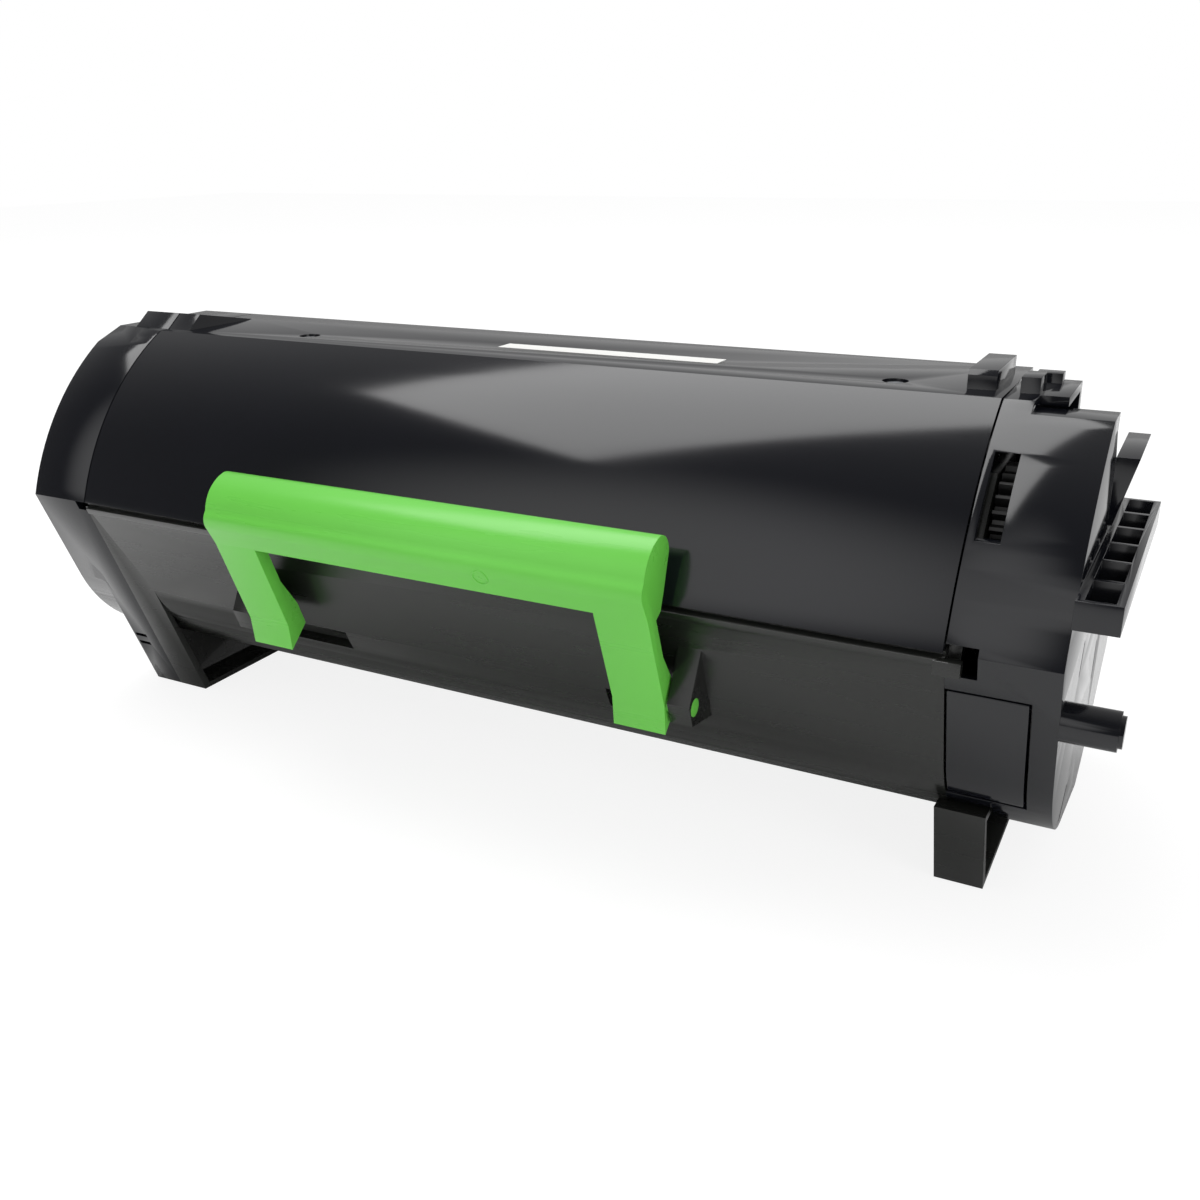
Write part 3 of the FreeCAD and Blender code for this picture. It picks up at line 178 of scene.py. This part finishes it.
def board_material():
    material, tree = new_material("lacquered_circuit_board")
    place = add(tree, "ShaderNodeTexCoord").outputs["Object"]
    turned = add(tree, "ShaderNodeMapping", {"Vector": place, "Rotation": (0.0, math.pi / 2, 0.0)})
    tracks = add(tree, "ShaderNodeTexBrick", {"Vector": turned.outputs["Vector"], "Scale": 1000 / 4.0,
                                              "Color1": linear("#0E5A31"), "Color2": linear("#11653A"),
                                              "Mortar": linear("#2E8A55"), "Mortar Size": 0.05})
    skin = add(tree, "ShaderNodeBsdfPrincipled", {"Base Color": tracks.outputs["Color"], "Roughness": 0.25})
    add(tree, "ShaderNodeOutputMaterial", {"Surface": skin.outputs["BSDF"]})
    return material


urethane_foam = foam_material()
zinc_plated_steel = zinc_material()
lacquered_circuit_board = board_material()
gold_material, gold_tree = new_material("gold_flash")
gold_place = add(gold_tree, "ShaderNodeTexCoord").outputs["Object"]
gold_noise = add(gold_tree, "ShaderNodeTexNoise", {"Vector": gold_place, "Scale": 1000 / 0.9})
gold_rough = add(gold_tree, "ShaderNodeMapRange", {"Value": gold_noise.outputs["Fac"], "To Min": 0.15,
                                                   "To Max": 0.35})
gold_skin = add(gold_tree, "ShaderNodeBsdfPrincipled", {"Base Color": linear("#D9B25A"), "Metallic": 1.0,
                                                        "Roughness": gold_rough.outputs["Result"]})
add(gold_tree, "ShaderNodeOutputMaterial", {"Surface": gold_skin.outputs["BSDF"]})
print("all finishes:", len(bpy.data.materials))

# %% [markdown]
# ## Dress the pieces that keep their CAD shape
# A piece whose shape is right keeps its mesh and only gets its finish. The table below says which finish
# goes where.

# %% Finishes by piece
FINISHES = {
    gloss_black_abs: ("lid", "left_end_cap", "right_end_cap", "hatch_panel"),
    satin_black_abs: ("hopper", "outlet_shutter"),
    green_polypropylene: ("handle",),
    black_acetal: ("agitator_gear", "input_gear", "auger_idler", "auger_gear", "agitator_bush",
                   "auger_bush"),
    natural_nylon: ("agitator_shaft", "auger", "fill_plug"),
    wiper_film: ("agitator_wiper",),
    white_film: ("label_strip",),
    urethane_foam: ("agitator_seal", "auger_seal", "shutter_seal"),
    zinc_plated_steel: ("top_screws", "left_cap_screws", "right_cap_screws"),
    lacquered_circuit_board: ("chip_board",),
    gold_material: ("chip_contacts",),
}
for finish, names in FINISHES.items():
    for name in names:
        nodes[name].data.materials.clear()
        nodes[name].data.materials.append(finish)
print("dressed:", sum(len(names) for names in FINISHES.values()))

# %% [markdown]
# ## Round the edges of the big mouldings
# No moulded edge is knife-sharp, and it is the small round that catches the light. The CAD mesh is never
# changed, so
# each big moulding is copied: the copy's corners are merged, its flat triangles joined, and a Bevel modifier
# with an
# angle limit rounds what is left. The copy then stands for its CAD node.

# %% Rounded copies
def rounded_copy(name, width_mm, body, segments=3):
    """A copy of a CAD node with its sharp edges rounded, riding on its body."""
    mesh = bmesh.new()
    mesh.from_mesh(nodes[name].data)
    bmesh.ops.remove_doubles(mesh, verts=mesh.verts, dist=2e-6)
    bmesh.ops.dissolve_degenerate(mesh, dist=1e-6, edges=mesh.edges)
    bmesh.ops.dissolve_limit(mesh, angle_limit=math.radians(0.6), verts=mesh.verts, edges=mesh.edges)
    data = bpy.data.meshes.new(name + "_moulding")
    mesh.to_mesh(data)
    mesh.free()
    data.materials.append(nodes[name].data.materials[0])
    piece = bpy.data.objects.new(name + "_moulding", data)
    bpy.context.scene.collection.objects.link(piece)
    bevel = piece.modifiers.new("edge_round", "BEVEL")
    bevel.width = width_mm / 1000
    bevel.segments = segments
    bevel.limit_method = "ANGLE"
    bevel.angle_limit = math.radians(28)
    bevel.use_clamp_overlap = True
    bevel.harden_normals = False
    bpy.context.view_layer.update()
    baked = bpy.data.meshes.new_from_object(piece.evaluated_get(bpy.context.evaluated_depsgraph_get()))
    piece.modifiers.clear()
    piece.data = baked
    baked.shade_smooth()
    baked.set_sharp_from_angle(angle=math.radians(32))
    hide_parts(name)
    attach(piece, body)
    print(name, "rounded:", len(baked.polygons), "faces")
    return piece


handle_moulding = rounded_copy("handle", 0.7, "carry_handle")
lid_moulding = rounded_copy("lid", 0.35, "cartridge")
right_cap_moulding = rounded_copy("right_end_cap", 0.3, "cartridge", 2)
left_cap_moulding = rounded_copy("left_end_cap", 0.3, "cartridge", 2)
hatch_moulding = rounded_copy("hatch_panel", 0.3, "cartridge")
hopper_moulding = rounded_copy("hopper", 0.3, "cartridge", 2)

# %% [markdown]
# ## Screws by Geometry Nodes
# Six equal screws hold the lid and the two caps. They could be modelled one by one, but they repeat, so one
# node tree
# makes a pair: a tapered pan head with a cross recess cut by a boolean, and a plain shank. The tree places
# the pair
# with a start, a step and a turn, which are its inputs with the sizes. The result is baked to a plain mesh.

# %% The screw tree
def screw_tree():
    """A pair of cross-recess screws; the start is the underside of the first head."""
    tree = bpy.data.node_groups.new("cross_recess_screws", "GeometryNodeTree")
    tree.interface.new_socket("Geometry", in_out="OUTPUT", socket_type="NodeSocketGeometry")
    for name, kind in (("Start", "Vector"), ("Step", "Vector"), ("Turn", "Vector"), ("Head radius", "Float"),
                       ("Head height", "Float"), ("Shank radius", "Float"), ("Shank length", "Float"),
                       ("Finish", "Material")):
        tree.interface.new_socket(name, in_out="INPUT", socket_type="NodeSocket" + kind)
    given = tree.nodes.new("NodeGroupInput").outputs
    line = add(tree, "GeometryNodeMeshLine", {"Count": 2, "Start Location": given["Start"],
                                              "Offset": given["Step"]})
    crown = add(tree, "ShaderNodeMath", {0: given["Head radius"], 1: 0.74}, operation="MULTIPLY")
    head = add(tree, "GeometryNodeMeshCone", {"Vertices": 40, "Radius Top": crown.outputs[0],
                                              "Radius Bottom": given["Head radius"],
                                              "Depth": given["Head height"]})
    wide = add(tree, "ShaderNodeMath", {0: given["Head radius"], 1: 1.05}, operation="MULTIPLY")
    slim = add(tree, "ShaderNodeMath", {0: given["Head radius"], 1: 0.26}, operation="MULTIPLY")
    bar = add(tree, "ShaderNodeCombineXYZ", {"X": wide.outputs[0], "Y": slim.outputs[0],
                                             "Z": given["Head height"]})
    cross_bar = add(tree, "ShaderNodeCombineXYZ", {"X": slim.outputs[0], "Y": wide.outputs[0],
                                                   "Z": given["Head height"]})
    raised = add(tree, "ShaderNodeCombineXYZ", {"Z": given["Head height"]})
    cutters = add(tree, "GeometryNodeJoinGeometry")
    for size in (bar, cross_bar):
        block = add(tree, "GeometryNodeMeshCube", {"Size": size.outputs[0]})
        lifted = add(tree, "GeometryNodeTransform", {"Geometry": block.outputs[0],
                                                     "Translation": raised.outputs[0]})
        tree.links.new(lifted.outputs[0], cutters.inputs[0])
    recessed = add(tree, "GeometryNodeMeshBoolean", operation="DIFFERENCE")
    tree.links.new(head.outputs["Mesh"], recessed.inputs[0])
    tree.links.new(cutters.outputs[0], recessed.inputs[1])
    shank = add(tree, "GeometryNodeMeshCylinder", {"Vertices": 24, "Radius": given["Shank radius"],
                                                   "Depth": given["Shank length"]})
    half = add(tree, "ShaderNodeMath", {0: given["Shank length"], 1: -0.5}, operation="MULTIPLY")
    down = add(tree, "ShaderNodeCombineXYZ", {"Z": half.outputs[0]})
    hung = add(tree, "GeometryNodeTransform", {"Geometry": shank.outputs["Mesh"],
                                               "Translation": down.outputs[0]})
    screw = add(tree, "GeometryNodeJoinGeometry")
    tree.links.new(recessed.outputs[0], screw.inputs[0])
    tree.links.new(hung.outputs[0], screw.inputs[0])
    turn = add(tree, "FunctionNodeEulerToRotation", {"Euler": given["Turn"]})
    pair = add(tree, "GeometryNodeInstanceOnPoints", {"Points": line.outputs[0],
                                                      "Instance": screw.outputs[0],
                                                      "Rotation": turn.outputs[0]})
    real = add(tree, "GeometryNodeRealizeInstances", {"Geometry": pair.outputs[0]})
    dressed = add(tree, "GeometryNodeSetMaterial", {"Geometry": real.outputs[0],
                                                    "Material": given["Finish"]})
    result = tree.nodes.new("NodeGroupOutput")
    tree.links.new(dressed.outputs[0], result.inputs[0])
    return tree


screws = screw_tree()
print("screw tree:", len(screws.nodes), "nodes")


# %% Three pairs of screws
def screw_pair(name, start, step, turn, shank_length):
    """Bake one pair of screws in place of a CAD node."""
    piece = bpy.data.objects.new(name + "_driven", bpy.data.meshes.new(name + "_driven"))
    bpy.context.scene.collection.objects.link(piece)
    maker = piece.modifiers.new("screws", "NODES")
    maker.node_group = screws
    sizes = {"Start": start, "Step": step, "Turn": turn, "Head radius": 0.0026, "Head height": 0.0014,
             "Shank radius": 0.00125, "Shank length": shank_length, "Finish": zinc_plated_steel}
    for socket in screws.interface.items_tree:
        if socket.in_out == "INPUT":
            maker[socket.identifier] = sizes[socket.name]
    bpy.context.view_layer.update()
    baked = bpy.data.meshes.new_from_object(piece.evaluated_get(bpy.context.evaluated_depsgraph_get()))
    piece.modifiers.clear()
    piece.data = baked
    baked.shade_smooth()
    baked.set_sharp_from_angle(angle=math.radians(30))
    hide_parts(name)
    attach(piece, "cartridge")
    return piece


screw_pair("top_screws", (-0.07835, -0.00215, 0.10705), (0.1668, 0.0, 0.0), (0.0, 0.0, 0.0), 0.0072)
screw_pair("left_cap_screws", (-0.14495, -0.00265, 0.0881), (0.0, 0.026, -0.063), (0.0, -math.pi / 2, 0.0),
           0.008)
screw_pair("right_cap_screws", (0.13355, 0.02535, 0.0651), (0.0, -0.004, -0.043), (0.0, math.pi / 2, 0.0),
           0.008)

# %% [markdown]
# ## The gate mark on the grip
# Plastic enters a mould through a gate, and on this handle the gate left a shallow round ring with a tiny
# nub on the
# front of the grip. A bump could fake it, but a ring this clear catches a real highlight, so it is modelled:
# a circle
# swept by a small half-sunk circle, and a flat dome in its middle. The grip is curved, so each step of the
# ring drops
# onto its surface along a ray.

# %% Gate mark
mark_centre = Vector((0.0151, -0.06088, 0.07022))
mark_out = Vector((0.0, -0.8364, -0.5482)).normalized()
mark_side = Vector((1.0, 0.0, 0.0))
mark_up = mark_out.cross(mark_side)
ring_radius, ring_bead, nub_radius, nub_rise = 0.0019, 0.00022, 0.0006, 0.00025
around, across = 48, 12
grip_skin = BVHTree.FromObject(handle_moulding, bpy.context.evaluated_depsgraph_get())


def on_grip(offset):
    """The point of the grip below an offset from the middle of the mark."""
    return grip_skin.ray_cast(mark_centre + offset + mark_out * 0.003, -mark_out)[0]


points, faces = [], []
for a in range(around):
    angle = 2 * math.pi * a / around
    outward = mark_side * math.cos(angle) + mark_up * math.sin(angle)
    for b in range(across):
        swing = 2 * math.pi * b / across
        points.append(on_grip(outward * ring_radius) + outward * ring_bead * math.cos(swing)
                      + mark_out * ring_bead * math.sin(swing))
        here, there = a * across, (a + 1) % around * across
        faces.append((here + b, there + b, there + (b + 1) % across, here + (b + 1) % across))
first = len(points)
levels = 5
for level in range(levels):
    lift = math.pi / 2 * level / levels
    for a in range(around):
        angle = 2 * math.pi * a / around
        outward = mark_side * math.cos(angle) + mark_up * math.sin(angle)
        points.append(on_grip(Vector()) + outward * nub_radius * math.cos(lift)
                      + mark_out * (nub_rise * math.sin(lift) - 0.0001))
for level in range(levels - 1):
    for a in range(around):
        low, high = first + level * around, first + (level + 1) * around
        faces.append((low + a, low + (a + 1) % around, high + (a + 1) % around, high + a))
faces.append(tuple(first + (levels - 1) * around + a for a in range(around)))
faces.append(tuple(first + a for a in reversed(range(around))))
mark_mesh = bpy.data.meshes.new("grip_gate_mark")
mark_mesh.from_pydata(points, [], faces)
mark_shape = bmesh.new()
mark_shape.from_mesh(mark_mesh)
bmesh.ops.recalc_face_normals(mark_shape, faces=mark_shape.faces)
mark_shape.to_mesh(mark_mesh)
mark_shape.free()
mark_mesh.shade_smooth()
mark_mesh.materials.append(green_polypropylene)
gate_mark = bpy.data.objects.new("grip_gate_mark", mark_mesh)
bpy.context.scene.collection.objects.link(gate_mark)
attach(gate_mark, "carry_handle")
print("gate mark faces:", len(mark_mesh.polygons))

# %% [markdown]
# ## The floor
# The floor is plain and pale, and it stays a real surface, so that the object keeps its shadow. To the
# camera alone
# it also glows a little, which brings it up to the white of the background without more light on the object.

# %% Floor
floor_mesh = bpy.data.meshes.new("floor")
floor_mesh.from_pydata([(-3, -3, 0), (3, -3, 0), (3, 3, 0), (-3, 3, 0)], [], [(0, 1, 2, 3)])
floor = bpy.data.objects.new("floor", floor_mesh)
bpy.context.scene.collection.objects.link(floor)
floor.location.z = -0.0002
floor_material, floor_tree = new_material("pale_paper_floor")
floor_skin = add(floor_tree, "ShaderNodeBsdfPrincipled", {"Base Color": linear("#F6F6F6"), "Roughness": 0.9})
floor_glow = add(floor_tree, "ShaderNodeEmission", {"Color": linear("#FFFFFF"), "Strength": 1.12})
floor_path = add(floor_tree, "ShaderNodeLightPath")
floor_share = add(floor_tree, "ShaderNodeMath", {0: floor_path.outputs["Is Camera Ray"], 1: 0.76},
                  operation="MULTIPLY")
floor_mix = add(floor_tree, "ShaderNodeMixShader", {0: floor_share.outputs[0], 1: floor_skin.outputs[0],
                                                    2: floor_glow.outputs[0]})
add(floor_tree, "ShaderNodeOutputMaterial", {"Surface": floor_mix.outputs[0]})
floor_mesh.materials.append(floor_material)
print("floor ready")

# %% [markdown]
# ## The world
# The world is white where the camera looks straight at it, or through something clear. What the glossy
# plastic
# mirrors matters more. A room that is white all round would turn the black lid grey, so gloss sees a room
# that is
# dim in front and brighter behind, with one soft glow low in front that lights the lower right of the lid.

# %% World
world = bpy.data.worlds.new("studio")
bpy.context.scene.world = world
world.use_nodes = True
world.node_tree.nodes.clear()
sky = world.node_tree
ray = add(sky, "ShaderNodeLightPath")
toward = add(sky, "ShaderNodeTexCoord").outputs["Generated"]
behind = add(sky, "ShaderNodeVectorMath", {0: toward, 1: (0.10, 0.90, 0.42)}, operation="DOT_PRODUCT")
wall = add(sky, "ShaderNodeMapRange", {"Value": behind.outputs["Value"], "From Min": -0.2, "From Max": 0.95,
                                       "To Min": 0.10, "To Max": 0.50}, interpolation_type="SMOOTHSTEP")
doorway = add(sky, "ShaderNodeVectorMath", {0: toward, 1: (-0.26, -0.83, 0.49)}, operation="DOT_PRODUCT")
glow = add(sky, "ShaderNodeMapRange", {"Value": doorway.outputs["Value"], "From Min": 0.80, "From Max": 1.0,
                                       "To Min": 0.0, "To Max": 1.1}, interpolation_type="SMOOTHSTEP")
room = add(sky, "ShaderNodeMath", {0: wall.outputs["Result"], 1: glow.outputs["Result"]}, operation="ADD")
lit = add(sky, "ShaderNodeMix", {"Factor": ray.outputs["Is Glossy Ray"], "A": 0.60, "B": room.outputs[0]},
          data_type="FLOAT")
seen = add(sky, "ShaderNodeMath", {0: ray.outputs["Is Camera Ray"], 1: ray.outputs["Is Transmission Ray"]},
           operation="MAXIMUM")
strength = add(sky, "ShaderNodeMix", {"Factor": seen.outputs[0], "A": lit.outputs["Result"], "B": 1.0},
               data_type="FLOAT")
back = add(sky, "ShaderNodeBackground", {"Color": linear("#FFFFFF"), "Strength": strength.outputs["Result"]})
add(sky, "ShaderNodeOutputWorld", {"Surface": back.outputs["Background"]})
print("world ready")


# %% [markdown]
# ## The lamps
# A polished cylinder shows its lamps as streaks. One big soft lamp hangs flat above the lid and is turned by
# about
# 45 degrees, so that its corner draws a wedge of light along the curve. A weaker lamp at the right opens the
# shade.

# %% Lamps
def lamp(name, place, target, size, power):
    """A soft rectangular lamp that looks at a point."""
    light = bpy.data.lights.new(name, "AREA")
    light.shape = "RECTANGLE"
    light.size, light.size_y = size
    light.energy = power
    thing = bpy.data.objects.new(name, light)
    thing.location = place
    thing.rotation_euler = (Vector(target) - Vector(place)).to_track_quat("-Z", "Y").to_euler()
    bpy.context.scene.collection.objects.link(thing)
    return thing


ceiling_lamp = lamp("ceiling_lamp", (-0.384, 0.12, 1.295), (-0.384, 0.12, 0.0), (1.32, 0.77), 12.5)
ceiling_lamp.rotation_euler = (0.0, 0.0, math.radians(46))
side_lamp = lamp("side_lamp", (1.5, -0.7, 0.7), (0.05, 0.0, 0.06), (0.8, 0.8), 5.0)

# %% [markdown]
# ## The camera
# The photograph was taken from the front and a little to the right, close by, with a wide lens. The three
# columns
# below are the camera's right, up and back directions, worked out from straight edges of the cartridge.

# %% Camera
camera_data = bpy.data.cameras.new("camera")
camera_data.sensor_width = 36.0
camera_data.lens = 35.71
camera_data.clip_start = 0.01
camera = bpy.data.objects.new("camera", camera_data)
right = Vector((0.8838, 0.4670, -0.0139)).normalized()
backward = Vector((0.4404, -0.8218, 0.3621)).normalized()
upward = backward.cross(right).normalized()
turn = Matrix((right, upward, backward)).transposed().to_4x4()
camera.matrix_world = Matrix.Translation((0.15424, -0.26499, 0.16002)) @ turn
bpy.context.scene.collection.objects.link(camera)
bpy.context.scene.camera = camera
bpy.context.scene.view_settings.view_transform = "Standard"
print("camera at", tuple(round(v, 3) for v in camera.location))
